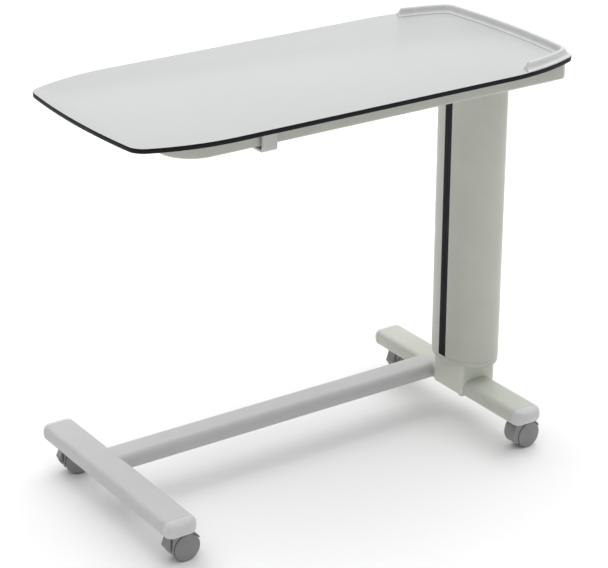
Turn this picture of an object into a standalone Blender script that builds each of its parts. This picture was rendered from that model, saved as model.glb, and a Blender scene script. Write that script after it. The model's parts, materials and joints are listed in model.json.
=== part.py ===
"""Overbed table: a laminate top on a height-adjustable column, carried by an H-shaped castor base.

Metres, +Z up. The origin is on the floor under the centre of the tabletop. +X runs along the top towards
the column end and +Y across it. The rest pose is the lowest height, with the castors trailing towards +X.
"""

import math

import bmesh
import bpy
from mathutils import Matrix, Vector

# ---------------------------------------------------------------- driving dimensions
GAP = 0.0003  # clearance left between two pieces that touch
BORE_CLEARANCE = 0.0004  # radial clearance of a bolt, a stem or a guide in its hole

TOP_HEIGHT = 0.725  # floor to tabletop, lowest position
TOP_LENGTH = 0.892
TOP_WIDTH = 0.420
TOP_THICKNESS = 0.008
TOP_END_BOW = 1.400  # radius of the slightly bowed short ends
TOP_SIDE_BOW = 0.380  # radius of the long sides' run-in towards the ends
TOP_SIDE_BOW_X = 0.270  # where that run-in starts
TOP_CORNER = 0.032

RIM_SECTION = (  # (inset from the tabletop's edge, height) of the raised rim, in millimetres
    (1.6, 0.0),
    (1.6, 1.3),
    (5.4, 2.6),
    (8.2, 5.2),
    (9.8, 9.6),
    (11.6, 12.6),
    (14.2, 13.8),
    (17.0, 12.8),
    (18.8, 9.8),
    (20.6, 4.8),
    (23.0, 1.8),
    (25.0, 0.8),
    (25.0, 0.0),
)
RIM_TAIL_X = (0.331, 0.3046)  # where the far and the near tail start
RIM_TAIL_SKEW = (-0.45, 0.35)  # how far each tail moves along X per unit of inset from the edge
RIM_TAIL_SLANT = 0.50  # and how far both lean back per unit of height
RIM_TAIL_RUN = 0.010  # the last straight piece before a tail is at least this long

FRAME_TUBE = 0.030
FRAME_TUBE_CORNER = 0.005
FRAME_HALF_WIDTH = 0.162  # tabletop centre to a leg's centre line
FRAME_LEFT_X = -0.3475
FRAME_RIGHT_X = 0.4065
FRAME_BEND = 0.047

LEFT_FOOT_X = -0.3945
RIGHT_FOOT_X = 0.3315
FOOT_TUBE = (0.060, 0.030)
FOOT_TUBE_CORNER = 0.011
FOOT_WALL = 0.0025
FOOT_HALF_LENGTH = 0.206
FOOT_CAP_STEPS = (  # (distance out of the tube, side inset, top and bottom inset)
    (GAP, 0.0, 0.0),
    (0.0045, 0.0, 0.0003),
    (0.0095, 0.0010, 0.0020),
    (0.0135, 0.0028, 0.0048),
    (0.0160, 0.0060, 0.0085),
    (0.0168, 0.0100, 0.0112),
    (0.0170, 0.0200, 0.0135),
)
FOOT_CAP_BOW = (0.72, 0.50)  # share of that distance kept at the cap's sides, and what its middle adds
FOOT_BOTTOM = 0.060
SPINE_Y = 0.056
SPINE_TUBE = (0.060, 0.030)
SPINE_WALL = 0.0025

COLUMN_X = 0.3355
COLUMN_Y = -0.023
COLUMN_SIZE = (0.079, 0.086)
COLUMN_CORNER = 0.008
COLUMN_WALL = 0.0025
COLUMN_BOTTOM = 0.066
COLUMN_TOP = 0.600
COLUMN_BOLT_X = 0.018  # from the foot's centre line
COLUMN_BOLT_Y = 0.024  # from the column's axis
BASE_PLATE = (0.0725, 0.0795, 0.006)

SLEEVE_RADII = (0.0540, 0.0720)
SLEEVE_WALL = 0.0025
SLEEVE_BOTTOM = 0.135
SLOT_WIDTH = 0.020
COLLAR_INSET = 0.0006
COLLAR_BOTTOM = 0.1245
GLIDE_HEIGHT = 0.045
GLIDE_FIT = 0.985  # the upper glide's size against the sleeve's bore
GUIDE_STEPS = 4  # corner steps of the two plastic guides
GUIDE_SIDE = 0.010  # and the longest piece of their sides

HEAD_PLATE = (0.150, 0.318, 0.006)
CROSSBAR = (0.022, 0.010)

SPRING_RADIUS = 0.014
SPRING_WALL = 0.0015
SPRING_BOTTOM = 0.0966
SPRING_TOP = 0.560
ROD_RADIUS = 0.005
PISTON_BOTTOM = 0.122

LEVER_AXIS_Y = -0.081
LEVER_AXIS_Z = TOP_HEIGHT - TOP_THICKNESS - 0.014
LEVER_X = -0.1985
LEVER_WIDTH = 0.028
LEVER_TAB_RISE = 0.0085  # the tab's top above the shaft's axis
SHAFT_RADIUS = 0.004

CASTOR_Y = 0.185
CASTOR_TRAIL = 0.0195
WHEEL_RADIUS = 0.025
WHEEL_WIDTH = 0.0105
CASTOR_HALF_WIDTH = 0.0155
HOOD_RADIUS = 0.0280
HOOD_HALF_WIDTH = 0.0135
HOOD_WEB = 0.0042  # half thickness of the web between the wheels
STEM_RADIUS = 0.005
STEM_SOCKET_BOTTOM = 0.049
BOLT_RADIUS = 0.004
AXLE_RADIUS = 0.003
PEDAL_HINGE = (-0.0098, 0.0525)  # from the stem's axis, and above the floor
PEDAL_HALF_WIDTH = 0.010
NEAR_RIGHT_SWIVEL = math.radians(3.0)
FAR_LEFT_SWIVEL = math.radians(-14.0)

# ---------------------------------------------------------------- derived places
TOP_UNDERSIDE = TOP_HEIGHT - TOP_THICKNESS
FRAME_TOP = TOP_UNDERSIDE - GAP
FRAME_BOTTOM = FRAME_TOP - FRAME_TUBE
HEAD_PLATE_TOP = FRAME_BOTTOM - GAP
HEAD_PLATE_BOTTOM = HEAD_PLATE_TOP - HEAD_PLATE[2]
SLEEVE_TOP = HEAD_PLATE_BOTTOM - GAP
FOOT_TOP = FOOT_BOTTOM + FOOT_TUBE[1]
FOOT_CENTRE_Z = FOOT_BOTTOM + FOOT_TUBE[1] / 2


# ---------------------------------------------------------------- materials
def material(name, colour, roughness, metallic=0.0):
    made = bpy.data.materials.new(name)
    made.use_nodes = True
    shader = made.node_tree.nodes["Principled BSDF"]
    shader.inputs["Base Color"].default_value = (*colour, 1.0)
    shader.inputs["Roughness"].default_value = roughness
    shader.inputs["Metallic"].default_value = metallic
    return made


def make_materials():
    return {
        "laminate": material("laminate", (0.69, 0.71, 0.71), 0.35),
        "cream_paint": material("cream_paint", (0.60, 0.62, 0.55), 0.45),
        "grey_paint": material("grey_paint", (0.58, 0.58, 0.58), 0.40),
        "cap_plastic": material("cap_plastic", (0.62, 0.62, 0.63), 0.45),
        "rim_plastic": material("rim_plastic", (0.74, 0.74, 0.75), 0.40),
        "castor_plastic": material("castor_plastic", (0.21, 0.21, 0.21), 0.50),
        "black_plastic": material("black_plastic", (0.012, 0.012, 0.014), 0.55),
        "glide_plastic": material("glide_plastic", (0.80, 0.80, 0.78), 0.40),
        "steel": material("steel", (0.56, 0.57, 0.58), 0.30, 1.0),
        "spring_black": material("spring_black", (0.02, 0.02, 0.02), 0.35),
    }


# ---------------------------------------------------------------- outlines
def arc(centre, radius, start, end, steps):
    """Points from the start angle to the end angle, both in radians, ends included."""
    points = []
    for i in range(steps + 1):
        angle = start + (end - start) * i / steps
        points.append((centre[0] + radius * math.cos(angle), centre[1] + radius * math.sin(angle)))
    return points


def circle(radius, steps, centre=(0.0, 0.0)):
    return arc(centre, radius, 0.0, 2 * math.pi, steps)[:-1]


def ellipse(half_x, half_y, steps):
    turns = [2 * math.pi * i / steps for i in range(steps)]
    return [(half_x * math.cos(turn), half_y * math.sin(turn)) for turn in turns]


def rounded_rectangle(width, height, corner, steps):
    points = []
    for i, (x_sign, y_sign) in enumerate(((1, 1), (-1, 1), (-1, -1), (1, -1))):
        centre = (x_sign * (width / 2 - corner), y_sign * (height / 2 - corner))
        points += arc(centre, corner, i * math.pi / 2, (i + 1) * math.pi / 2, steps)
    distinct = []
    for point in points:
        if not distinct or math.dist(point, distinct[-1]) > 1e-6:
            distinct.append(point)
    return distinct


def densified(outline, longest):
    """The same closed outline with points added along every side longer than that."""
    points = []
    for i, (u, v) in enumerate(outline):
        next_u, next_v = outline[(i + 1) % len(outline)]
        parts = max(1, math.ceil(math.dist((u, v), (next_u, next_v)) / longest))
        for k in range(parts):
            points.append((u + (next_u - u) * k / parts, v + (next_v - v) * k / parts))
    return points


def two_arc_corner(end_centre, end_radius, side_centre, side_radius, corner):
    """Centre and end angles of the fillet that touches both arcs from inside, on the +X +Y side."""
    a = Vector(end_centre)
    b = Vector(side_centre)
    ra = end_radius - corner
    rb = side_radius - corner
    gap = (b - a).length
    along = (ra * ra - rb * rb + gap * gap) / (2 * gap)
    across = math.sqrt(ra * ra - along * along)
    direction = (b - a).normalized()
    normal = Vector((-direction.y, direction.x))
    candidates = [a + direction * along + normal * side * across for side in (1, -1)]
    centre = max(candidates, key=lambda point: point.y)
    start = math.atan2(centre.y - a.y, centre.x - a.x)
    end = math.atan2(centre.y - b.y, centre.x - b.x)
    return (centre.x, centre.y), start, end


def bowed_quarter(end_x, half_width, corner, side_start, side_radius, end_radius):
    """One quarter outline, from the middle of the bowed end to where the straight side starts."""
    end_centre = (end_x - end_radius, 0.0)
    side_centre = (side_start, half_width - side_radius)
    centre, start, end = two_arc_corner(end_centre, end_radius, side_centre, side_radius, corner)
    points = arc(end_centre, end_radius, 0.0, start, 4)
    points += arc(centre, corner, start, end, 6)[1:]
    points += arc(side_centre, side_radius, end, math.pi / 2, 7)[1:]
    return points


def tabletop_quarter(inset=0.0):
    return bowed_quarter(
        TOP_LENGTH / 2 - inset,
        TOP_WIDTH / 2 - inset,
        TOP_CORNER - inset,
        TOP_SIDE_BOW_X,
        TOP_SIDE_BOW - inset,
        TOP_END_BOW - inset,
    )


def tabletop_outline():
    quarter = tabletop_quarter()
    left = [(-x, y) for x, y in reversed(quarter)]
    upper = quarter + left
    lower = [(x, -y) for x, y in reversed(upper[1:-1])]
    return upper + lower


# ---------------------------------------------------------------- solids
def on_axis(u, v, w, axis):
    """The point whose outline coordinates are u, v and whose height along the axis is w."""
    if axis == "X":
        return (w, u, v)
    if axis == "Y":
        return (u, w, v)
    return (u, v, w)


def closed(bm):
    bmesh.ops.remove_doubles(bm, verts=bm.verts, dist=1e-6)
    bmesh.ops.recalc_face_normals(bm, faces=bm.faces)
    if bm.calc_volume(signed=True) < 0:
        bmesh.ops.reverse_faces(bm, faces=bm.faces)
    return bm


def bridge(bm, first, second):
    count = len(first)
    for i in range(count):
        j = (i + 1) % count
        bm.faces.new((first[i], first[j], second[j], second[i]))


def loft(sections, axis="Z"):
    """A closed solid through outlines of equal point count, each given as (height, outline)."""
    bm = bmesh.new()
    rings = [[bm.verts.new(on_axis(u, v, height, axis)) for u, v in outline] for height, outline in sections]
    for first, second in zip(rings, rings[1:]):
        bridge(bm, first, second)
    bm.faces.new(rings[0])
    bm.faces.new(rings[-1])
    return closed(bm)


def prism(outline, low, high, axis="Z"):
    return loft([(low, outline), (high, outline)], axis)


def hollow(outer, inner, low, high, axis="Z"):
    """A tube, open at both ends, between two outlines of equal point count."""
    bm = bmesh.new()
    rings = []
    for outline, height in ((outer, low), (outer, high), (inner, high), (inner, low)):
        rings.append([bm.verts.new(on_axis(u, v, height, axis)) for u, v in outline])
    for first, second in zip(rings, rings[1:] + rings[:1]):
        bridge(bm, first, second)
    return closed(bm)


def turned(profile, steps, axis="Z"):
    """A solid of revolution from (radius, height) points; a point at radius 0 closes an end."""
    bm = bmesh.new()
    rings = []
    for radius, height in profile:
        if radius < 1e-7:
            rings.append([bm.verts.new(on_axis(0.0, 0.0, height, axis))])
            continue
        ring = [bm.verts.new(on_axis(u, v, height, axis)) for u, v in circle(radius, steps)]
        rings.append(ring)
    closing = rings[:1] if len(rings[0]) > 1 else []
    for first, second in zip(rings, rings[1:] + closing):
        if len(first) == 1 or len(second) == 1:
            tip, ring = (first[0], second) if len(first) == 1 else (second[0], first)
            for i in range(steps):
                bm.faces.new((tip, ring[i], ring[(i + 1) % steps]))
        else:
            bridge(bm, first, second)
    return closed(bm)


def swept(section, path, ups, close=False):
    """Moves a (side, up) section along path; ups gives the up direction at each path point."""
    bm = bmesh.new()
    rings = []
    count = len(path)
    for i, (point, up) in enumerate(zip(path, ups)):
        before = Vector(path[i - 1]) if i > 0 else Vector(path[0])
        after = Vector(path[i + 1]) if i < count - 1 else Vector(path[-1])
        first = (Vector(point) - before).normalized()
        second = (after - Vector(point)).normalized()
        tangent = (first + second).normalized()
        stretch = 1.0
        if first.length > 0 and second.length > 0:
            stretch = 1.0 / max(0.5, tangent.dot(first))
        side = tangent.cross(Vector(up)).normalized()
        rings.append([bm.verts.new(Vector(point) + side * u * stretch + Vector(up) * v) for u, v in section])
    for first, second in zip(rings, rings[1:]):
        bridge(bm, first, second)
    bm.faces.new(rings[0])
    bm.faces.new(rings[-1])
    return closed(bm)


# ---------------------------------------------------------------- objects
def add(name, bm, finish, location=(0.0, 0.0, 0.0), parent=None):
    mesh = bpy.data.meshes.new(name)
    bm.to_mesh(mesh)
    bm.free()
    mesh.shade_smooth()
    mesh.set_sharp_from_angle(angle=math.radians(35))
    mesh.materials.append(MATERIALS[finish])
    return place(name, mesh, location, parent)


def place(name, mesh, location, parent=None):
    made = bpy.data.objects.new(name, mesh)
    bpy.context.scene.collection.objects.link(made)
    made.location = location
    made.parent = parent
    return made


def empty(name, location, parent=None, turn=0.0):
    made = bpy.data.objects.new(name, None)
    bpy.context.scene.collection.objects.link(made)
    made.empty_display_size = 0.03
    made.location = location
    made.rotation_euler = (0.0, 0.0, turn)
    made.parent = parent
    return made


def cutter(name, bm, location=(0.0, 0.0, 0.0), parent=None):
    mesh = bpy.data.meshes.new(name)
    bm.to_mesh(mesh)
    bm.free()
    made = place(name, mesh, location, parent)
    made.hide_render = True
    made.display_type = "WIRE"
    return made


def cut(target, *cutters):
    for tool in cutters:
        modifier = target.modifiers.new("cut_" + tool.name, "BOOLEAN")
        modifier.operation = "DIFFERENCE"
        modifier.solver = "EXACT"
        modifier.object = tool


def plug(radius, low, high, steps=16, axis="Z"):
    """A round cutter that runs past both faces of what it goes through."""
    low -= 0.004
    high += 0.004
    return turned([(0, low), (radius, low), (radius, high), (0, high)], steps, axis)


def box(low, high):
    bm = bmesh.new()
    size = Vector(high) - Vector(low)
    centre = (Vector(high) + Vector(low)) / 2
    matrix = Matrix.Translation(centre) @ Matrix.Diagonal((*size, 1.0))
    bmesh.ops.create_cube(bm, size=1.0, matrix=matrix)
    return closed(bm)


# ---------------------------------------------------------------- top
def make_tabletop():
    bm = prism(tabletop_outline(), TOP_UNDERSIDE, TOP_HEIGHT)
    add("tabletop_panel", bm, "laminate")


def rim_line(inset):
    """The tabletop's outline moved in by inset, from the far tail round the end to the near tail."""
    count = sum(x > max(RIM_TAIL_X) + RIM_TAIL_RUN for x, y in tabletop_quarter())
    kept = tabletop_quarter(inset)[: count + 1]
    return list(reversed(kept)) + [(x, -y) for x, y in kept[1:]]


def make_end_rim():
    """A raised lip round the column end: a steep inner face, a round crest and a flare to the edge."""
    base = TOP_HEIGHT + GAP
    lines = []
    for inset, height in RIM_SECTION:
        line = [(x, y, base + height / 1000) for x, y in rim_line(inset / 1000)]
        for side, end, step in ((0, 0, 1), (1, -1, -1)):
            lean = (height * RIM_TAIL_SLANT + inset * RIM_TAIL_SKEW[side]) / 1000
            tail_x = RIM_TAIL_X[side] + lean
            first = Vector(line[end])
            second = Vector(line[end + step])
            direction = (first - second) / (first - second).x
            line[end] = tuple(first + direction * (tail_x - first.x))
        lines.append(line)
    bm = bmesh.new()
    rings = [[bm.verts.new(point) for point in line] for line in lines]
    for first, second in zip(rings, rings[1:] + rings[:1]):
        for i in range(len(first) - 1):
            bm.faces.new((first[i], first[i + 1], second[i + 1], second[i]))
    bm.faces.new([ring[0] for ring in rings])
    bm.faces.new([ring[-1] for ring in rings])
    add("end_rim", closed(bm), "rim_plastic")


def frame_path():
    left = FRAME_LEFT_X
    half = FRAME_HALF_WIDTH
    centre_x = left + FRAME_BEND
    near = arc((centre_x, -half + FRAME_BEND), FRAME_BEND, 1.5 * math.pi, math.pi, 7)
    far = arc((centre_x, half - FRAME_BEND), FRAME_BEND, math.pi, 0.5 * math.pi, 7)
    return [(FRAME_RIGHT_X, -half)] + near + far + [(FRAME_RIGHT_X, half)]


def make_support_frame():
    middle = FRAME_TOP - FRAME_TUBE / 2
    section = rounded_rectangle(FRAME_TUBE, FRAME_TUBE, FRAME_TUBE_CORNER, 3)
    path = [(x, y, middle) for x, y in frame_path()]
    bm = swept(section, path, [(0.0, 0.0, 1.0)] * len(path))
    add("support_frame", bm, "cream_paint")
    for name, y in (("near", -FRAME_HALF_WIDTH), ("far", FRAME_HALF_WIDTH)):
        sections = []
        for out, shrink in ((GAP, 0.0), (0.003, 0.0), (0.006, 0.0012), (0.008, 0.0045)):
            size = FRAME_TUBE - 2 * shrink
            sections.append((FRAME_RIGHT_X + out, rounded_rectangle(size, size, FRAME_TUBE_CORNER, 3)))
        moved = [(height, [(u + y, v + middle) for u, v in outline]) for height, outline in sections]
        add("frame_cap_" + name, loft(moved, "X"), "cap_plastic")


def make_head(top):
    half_x = HEAD_PLATE[0] / 2
    outline = rounded_rectangle(HEAD_PLATE[0], HEAD_PLATE[1], 0.012, 3)
    shifted = [(x, y - COLUMN_Y) for x, y in outline]
    plate = add("head_plate", prism(shifted, HEAD_PLATE_BOTTOM, HEAD_PLATE_TOP), "steel", parent=top)
    hole = plug(ROD_RADIUS + 0.0015, HEAD_PLATE_BOTTOM, HEAD_PLATE_TOP)
    cut(plate, cutter("head_plate_hole", hole, parent=top))
    reach = FRAME_HALF_WIDTH - FRAME_TUBE / 2 - GAP
    for name, x in (("left", -half_x + CROSSBAR[0] / 2), ("right", half_x - CROSSBAR[0] / 2)):
        low = (x - CROSSBAR[0] / 2, -reach - COLUMN_Y, HEAD_PLATE_TOP + GAP)
        high = (x + CROSSBAR[0] / 2, reach - COLUMN_Y, HEAD_PLATE_TOP + GAP + CROSSBAR[1])
        add("head_crossbar_" + name, box(low, high), "cream_paint", parent=top)


def make_sleeve(top):
    outer = ellipse(*SLEEVE_RADII, 40)
    inner = ellipse(SLEEVE_RADII[0] - SLEEVE_WALL, SLEEVE_RADII[1] - SLEEVE_WALL, 40)
    sleeve = add("outer_sleeve", hollow(outer, inner, SLEEVE_BOTTOM, SLEEVE_TOP), "cream_paint", parent=top)
    reach = SLEEVE_RADII[0]
    low = (-reach - 0.01, -SLOT_WIDTH / 2, SLEEVE_BOTTOM - 0.01)
    high = (-reach + 0.012, SLOT_WIDTH / 2, SLEEVE_TOP + 0.01)
    cut(sleeve, cutter("sleeve_slot", box(low, high), parent=top))
    strip_low = (-reach + 0.0012, -SLOT_WIDTH / 2 + GAP, SLEEVE_BOTTOM + GAP)
    strip_high = (-reach + 0.0032, SLOT_WIDTH / 2 - GAP, SLEEVE_TOP - 0.001)
    add("slot_strip", box(strip_low, strip_high), "black_plastic", parent=top)


def make_collar(top):
    """The plastic end ring that guides the sleeve's foot along the inner column."""
    size = [side + 2 * BORE_CLEARANCE for side in COLUMN_SIZE]
    corners = rounded_rectangle(size[0], size[1], COLUMN_CORNER + BORE_CLEARANCE, GUIDE_STEPS)
    inner = densified(corners, GUIDE_SIDE)
    turns = [math.atan2(v / size[1], u / size[0]) for u, v in inner]
    half_x = SLEEVE_RADII[0] - COLLAR_INSET
    half_y = SLEEVE_RADII[1] - COLLAR_INSET

    def outline(shrink):
        return [((half_x - shrink) * math.cos(turn), (half_y - shrink) * math.sin(turn)) for turn in turns]

    bm = bmesh.new()
    rings = []
    for points, height in (
        (outline(0.0015), COLLAR_BOTTOM),
        (outline(0.0), COLLAR_BOTTOM + 0.0015),
        (outline(0.0), SLEEVE_BOTTOM - GAP),
        (inner, SLEEVE_BOTTOM - GAP),
        (inner, COLLAR_BOTTOM),
    ):
        rings.append([bm.verts.new((u, v, height)) for u, v in points])
    for first, second in zip(rings, rings[1:] + rings[:1]):
        bridge(bm, first, second)
    add("sleeve_collar", closed(bm), "cream_paint", parent=top)


# ---------------------------------------------------------------- base
def make_foot(side, foot_x):
    finish = "cream_paint" if side == "right" else "grey_paint"
    outer = rounded_rectangle(*FOOT_TUBE, FOOT_TUBE_CORNER, 4)
    inner_size = [size - 2 * FOOT_WALL for size in FOOT_TUBE]
    inner = rounded_rectangle(*inner_size, FOOT_TUBE_CORNER - FOOT_WALL, 4)
    bm = hollow(outer, inner, -FOOT_HALF_LENGTH, FOOT_HALF_LENGTH, "Y")
    foot = add(side + "_foot_tube", bm, finish, (foot_x, 0.0, FOOT_CENTRE_Z))
    for name, y in (("near", -CASTOR_Y), ("far", CASTOR_Y)):
        hole = plug(STEM_RADIUS + BORE_CLEARANCE, FOOT_BOTTOM, FOOT_BOTTOM + FOOT_WALL)
        cut(foot, cutter(side + name + "_stem_hole", hole, (foot_x, y, 0.0)))
    if side == "right":
        for index, (x, y) in enumerate(bolt_places()):
            hole = plug(BOLT_RADIUS + BORE_CLEARANCE, FOOT_BOTTOM, FOOT_TOP)
            cut(foot, cutter("foot_bolt_hole_%d" % index, hole, (x, y, 0.0)))
    for name, direction in (("near", -1), ("far", 1)):
        sections = []
        for out, side_in, top_in in FOOT_CAP_STEPS:
            width = FOOT_TUBE[0] - 2 * side_in
            height = FOOT_TUBE[1] - 2 * top_in
            corner = min(FOOT_TUBE_CORNER, height / 2 - 0.0003)
            outline = rounded_rectangle(width, height, corner, 4)
            sections.append((direction * out, outline))
        bm = loft(sections, "Y")
        for vert in bm.verts:
            bow = FOOT_CAP_BOW[0] + FOOT_CAP_BOW[1] * (1 - (2 * vert.co.x / FOOT_TUBE[0]) ** 2)
            beyond = max(0.0, abs(vert.co.y) - GAP)
            vert.co.y = direction * (FOOT_HALF_LENGTH + GAP + beyond * bow)
        location = (foot_x, 0.0, FOOT_CENTRE_Z)
        add(side + "_foot_cap_" + name, bm, "cap_plastic", location)


def make_spine():
    outer = rounded_rectangle(*SPINE_TUBE, SPINE_TUBE[1] / 2, 6)
    inner_size = [size - 2 * SPINE_WALL for size in SPINE_TUBE]
    inner = rounded_rectangle(*inner_size, inner_size[1] / 2, 6)
    low = LEFT_FOOT_X + 0.010
    high = RIGHT_FOOT_X - 0.010
    bm = hollow(outer, inner, low, high, "X")
    spine = add("spine_tube", bm, "grey_paint", (0.0, SPINE_Y, FOOT_CENTRE_Z))
    for side, foot_x in (("left", LEFT_FOOT_X), ("right", RIGHT_FOOT_X)):
        cut(spine, foot_cutter("spine_cope_" + side, foot_x))


def foot_cutter(name, foot_x, drop=0.0):
    """The foot tube's outside with the usual gap, to shape the pieces welded against it."""
    outline = rounded_rectangle(FOOT_TUBE[0] + 2 * GAP, FOOT_TUBE[1] + 2 * GAP, FOOT_TUBE_CORNER + GAP, 4)
    lowered = [(x, z - drop if z < 0 else z) for x, z in outline]
    return cutter(name, prism(lowered, -0.13, 0.13, "Y"), (foot_x, 0.0, FOOT_CENTRE_Z))


def make_inner_column():
    outer = rounded_rectangle(*COLUMN_SIZE, COLUMN_CORNER, 4)
    inner_size = [size - 2 * COLUMN_WALL for size in COLUMN_SIZE]
    inner = rounded_rectangle(*inner_size, COLUMN_CORNER - COLUMN_WALL, 4)
    place_at = (COLUMN_X, COLUMN_Y, 0.0)
    column = add("inner_column", hollow(outer, inner, COLUMN_BOTTOM, COLUMN_TOP), "cream_paint", place_at)
    cut(column, foot_cutter("column_foot_notch", RIGHT_FOOT_X, drop=0.02))
    make_base_plate()


def bolt_places():
    return [(RIGHT_FOOT_X + i * COLUMN_BOLT_X, COLUMN_Y + i * COLUMN_BOLT_Y) for i in (-1, 1)]


def make_base_plate():
    """The plate inside the column's foot that the two bolts through the foot tube screw into."""
    low = FOOT_TOP + GAP
    high = low + BASE_PLATE[2]
    outline = rounded_rectangle(BASE_PLATE[0], BASE_PLATE[1], 0.006, 3)
    plate = add("column_base_plate", prism(outline, low, high), "steel", (COLUMN_X, COLUMN_Y, 0.0))
    head = FOOT_BOTTOM - GAP
    profile = [(0, head - 0.0068), (0.0045, head - 0.0060), (0.0072, head - 0.0030), (0.0075, head)]
    profile += [(BOLT_RADIUS, head), (BOLT_RADIUS, high - 0.001), (0, high - 0.001)]
    for index, (x, y) in enumerate(bolt_places()):
        add("column_bolt_%d" % (index + 1), turned(profile, 14), "steel", (x, y, 0.0))
        hole = plug(BOLT_RADIUS + BORE_CLEARANCE, low, high)
        cut(plate, cutter("plate_hole_%d" % index, hole, (x, y, 0.0)))


def make_upper_glide():
    """The plastic ring on the inner column's top that runs inside the sleeve."""
    half_x = (SLEEVE_RADII[0] - SLEEVE_WALL) * GLIDE_FIT
    half_y = (SLEEVE_RADII[1] - SLEEVE_WALL) * GLIDE_FIT
    size = [side + 2 * GAP for side in COLUMN_SIZE]
    inner = densified(rounded_rectangle(size[0], size[1], COLUMN_CORNER + GAP, GUIDE_STEPS), GUIDE_SIDE)
    turns = [math.atan2(v / size[1], u / size[0]) for u, v in inner]
    outer = [(half_x * math.cos(turn), half_y * math.sin(turn)) for turn in turns]
    bm = hollow(outer, inner, COLUMN_TOP - GLIDE_HEIGHT, COLUMN_TOP)
    glide = add("column_upper_glide", bm, "glide_plastic", (COLUMN_X, COLUMN_Y, 0.0))
    low = (-SLEEVE_RADII[0], -SLOT_WIDTH / 2 - 0.001, COLUMN_TOP - GLIDE_HEIGHT - 0.005)
    high = (-SLEEVE_RADII[0] + 0.0047, SLOT_WIDTH / 2 + 0.001, COLUMN_TOP + 0.005)
    cut(glide, cutter("glide_relief", box(low, high), (COLUMN_X, COLUMN_Y, 0.0)))


def make_gas_spring(top):
    place_at = (COLUMN_X, COLUMN_Y, 0.0)
    bore = SPRING_RADIUS - SPRING_WALL
    floor_z = SPRING_BOTTOM + 0.004
    gland_low = SPRING_TOP - 0.016
    barrel = [
        (0, SPRING_BOTTOM),
        (SPRING_RADIUS, SPRING_BOTTOM),
        (SPRING_RADIUS, SPRING_TOP),
        (bore, SPRING_TOP),
        (bore, floor_z),
        (0, floor_z),
    ]
    add("gas_spring_cylinder", turned(barrel, 20), "spring_black", place_at)
    hole = ROD_RADIUS + BORE_CLEARANCE
    gland = [
        (hole, gland_low),
        (bore - GAP, gland_low),
        (bore - GAP, SPRING_TOP + GAP),
        (SPRING_RADIUS, SPRING_TOP + GAP),
        (SPRING_RADIUS - 0.002, SPRING_TOP + 0.004),
        (hole, SPRING_TOP + 0.004),
    ]
    add("gas_spring_gland", turned(gland, 20), "steel", place_at)
    rod_top = HEAD_PLATE_TOP - 0.001
    rod = [
        (0, PISTON_BOTTOM),
        (bore - 0.0006, PISTON_BOTTOM),
        (bore - 0.0006, PISTON_BOTTOM + 0.012),
        (ROD_RADIUS, PISTON_BOTTOM + 0.012),
        (ROD_RADIUS, rod_top),
        (0.0022, rod_top),
        (0.0022, rod_top - 0.030),
        (0, rod_top - 0.030),
    ]
    add("gas_spring_rod", turned(rod, 20), "steel", parent=top)
    nut_low = HEAD_PLATE_BOTTOM - 0.0075
    nut_high = HEAD_PLATE_BOTTOM - GAP
    nut_bore = (ROD_RADIUS + GAP) / math.cos(math.pi / 6)
    nut = [(nut_bore, nut_low), (0.0095, nut_low), (0.0095, nut_high), (nut_bore, nut_high)]
    add("gas_spring_nut", turned(nut, 6), "steel", parent=top)


def make_release(top, lever):
    """Squeeze paddle, torsion shaft and finger; the finger presses the valve pin in the rod's end."""
    pin_top = LEVER_AXIS_Z + 0.001
    rod_top = HEAD_PLATE_TOP - 0.001
    pin = [(0, rod_top - 0.024), (0.0018, rod_top - 0.024), (0.0018, pin_top), (0, pin_top)]
    add("valve_pin", turned(pin, 12), "steel", parent=top)

    left_end = LEVER_X - LEVER_WIDTH / 2
    right_end = COLUMN_X + 0.012
    profile = [(0, left_end), (SHAFT_RADIUS, left_end), (SHAFT_RADIUS, right_end), (0, right_end)]
    add("torsion_shaft", turned(profile, 16, "X"), "steel", parent=lever)

    hub = circle(0.008, 16)
    bore = circle(SHAFT_RADIUS + GAP, 16)
    bm = hollow(hub, bore, COLUMN_X - 0.008, COLUMN_X + 0.008, "X")
    finger = add("release_finger", bm, "steel", parent=lever)
    reach = COLUMN_Y - LEVER_AXIS_Y
    arm_low = (COLUMN_X - 0.005, 0.0065, 0.0016)
    arm_high = (COLUMN_X + 0.005, reach + 0.005, 0.0066)
    arm = cutter("finger_arm", box(arm_low, arm_high), parent=lever)
    join = finger.modifiers.new("arm", "BOOLEAN")
    join.operation = "UNION"
    join.solver = "EXACT"
    join.object = arm

    make_paddle(lever)
    for name, x in (("left", LEVER_X + LEVER_WIDTH / 2 + 0.022), ("right", COLUMN_X - 0.105)):
        block = hollow_block(0.018, LEVER_AXIS_Z, FRAME_TOP, SHAFT_RADIUS + 0.0005)
        add("shaft_bearing_" + name, block, "black_plastic", (x, LEVER_AXIS_Y, 0.0))


def hollow_block(width, centre_z, top_z, bore):
    """A bearing block under the tabletop: a half-round cheek around the shaft, 12 mm long."""
    half = width / 2
    rise = top_z - centre_z
    steps = 16
    inner = [(bore * math.cos(t), centre_z + bore * math.sin(t)) for t in half_step_turns(steps)]
    outer = []
    for turn in half_step_turns(steps):
        u = math.cos(turn)
        v = math.sin(turn)
        if v > 0:
            scale = min(half / max(abs(u), 1e-9), rise / v)
        else:
            scale = half
        outer.append((scale * u, centre_z + scale * v))
    return hollow(outer, inner, -0.006, 0.006, "X")


def half_step_turns(steps):
    return [2 * math.pi * (i + 0.5) / steps for i in range(steps)]


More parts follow.
